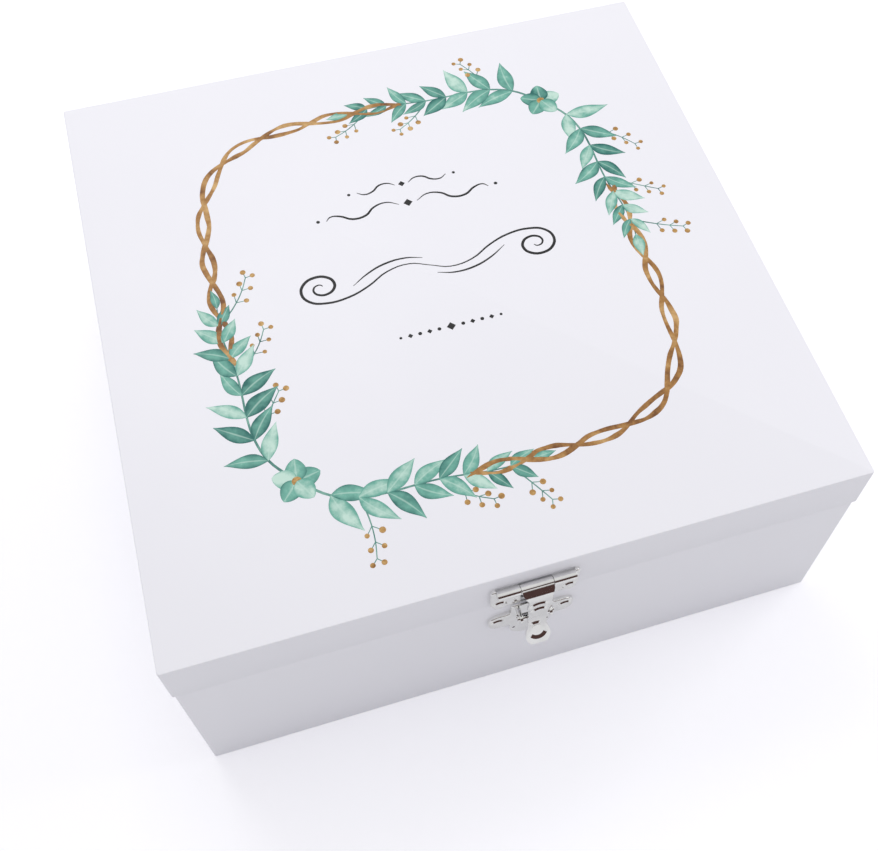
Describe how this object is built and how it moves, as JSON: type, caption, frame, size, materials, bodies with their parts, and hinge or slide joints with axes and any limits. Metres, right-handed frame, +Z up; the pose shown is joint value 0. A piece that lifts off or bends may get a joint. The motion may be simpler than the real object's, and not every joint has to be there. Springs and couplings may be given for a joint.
{
  "type": "keepsake box",
  "caption": "Square white-painted wooden box with a rear-hinged lid that opens to just past upright and a plated hanging clasp at the front, for papers and keepsakes.",
  "frame": {"origin": "middle of the flat face that the box stands on", "axes": "+Z up, the front with the clasp faces -Y, the hinges are at +Y, +X to the right as seen from the front"},
  "size_m": [0.27, 0.2869, 0.11],
  "materials": {
    "base_paint": "smooth satin white paint over board",
    "lid_paint": "smooth satin white paint over board",
    "bottom_paint": "satin white paint over thin board",
    "clasp_plating": "bright nickel plating, polished",
    "hinge_steel": "nickel-plated steel, satin",
    "pin_steel": "bright drawn steel"
  },
  "bodies": {
    "base": {"bottom_panel": "bottom_paint", "front_wall": "base_paint", "back_wall": "base_paint", "left_wall": "base_paint", "right_wall": "base_paint", "left_hinge_base_leaf": "hinge_steel", "right_hinge_base_leaf": "hinge_steel", "left_hinge_pin": "pin_steel", "right_hinge_pin": "pin_steel", "base_hinge_screws": "pin_steel", "catch_plate": "clasp_plating", "catch_nails": "clasp_plating"},
    "lid": {"lid_top": "lid_paint", "lid_front_rail": "lid_paint", "lid_back_rail": "lid_paint", "lid_left_rail": "lid_paint", "lid_right_rail": "lid_paint", "left_hinge_lid_leaf": "hinge_steel", "right_hinge_lid_leaf": "hinge_steel", "lid_hinge_screws": "pin_steel", "hasp_plate": "clasp_plating", "hasp_nails": "clasp_plating", "clasp_pin": "pin_steel"},
    "tongue": {"clasp_tongue": "clasp_plating"}
  },
  "joints": [
    {"name": "lid_hinge", "type": "hinge", "parent": "base", "child": "lid", "pos_m": [0, 0.1376, 0.085], "axis": [-1, 0, 0], "range_deg": [0, 101]},
    {"name": "clasp_hinge", "type": "hinge", "parent": "lid", "child": "tongue", "pos_m": [0, -0.1373, 0.0997], "axis": [-1, 0, 0], "range_deg": [0, 130]}
  ]
}
